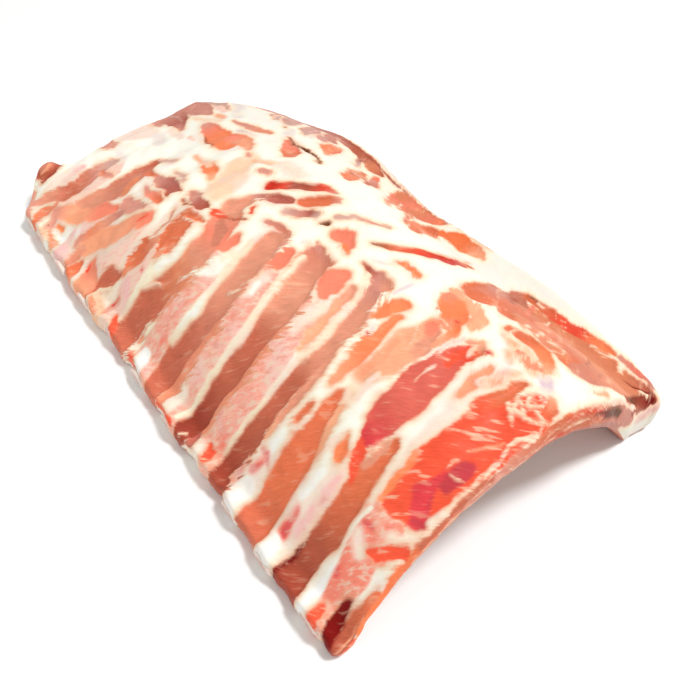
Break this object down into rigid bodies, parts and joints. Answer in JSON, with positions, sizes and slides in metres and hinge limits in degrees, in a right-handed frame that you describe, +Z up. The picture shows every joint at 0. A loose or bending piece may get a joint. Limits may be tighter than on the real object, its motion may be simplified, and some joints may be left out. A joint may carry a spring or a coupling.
{
  "type": "raw rack of ribs",
  "caption": "Raw rack of pork ribs: an arched slab of fat and lean with flat rib bones running across it, sawn along one edge, with a thick meat flap along the other.",
  "frame": {"origin": "on the table, under the middle of the rack", "axes": "+X along the rack, across the ribs, towards the cut near end; +Y along the ribs, from the sawn edge to the flap edge; +Z up, the outer side"},
  "size_m": [0.3592, 0.2134, 0.0759],
  "materials": {
    "raw_meat": "moist raw lean and cream fat, glossy where wet",
    "rib_bone": "damp sawn bone with red marrow"
  },
  "bodies": {
    "root": {"meat": "raw_meat", "rib_bone_01": "rib_bone", "rib_bone_02": "rib_bone", "rib_bone_03": "rib_bone", "rib_bone_04": "rib_bone", "rib_bone_05": "rib_bone", "rib_bone_06": "rib_bone", "rib_bone_07": "rib_bone", "rib_bone_08": "rib_bone", "rib_bone_09": "rib_bone", "rib_bone_10": "rib_bone", "rib_bone_11": "rib_bone"}
  },
  "joints": []
}
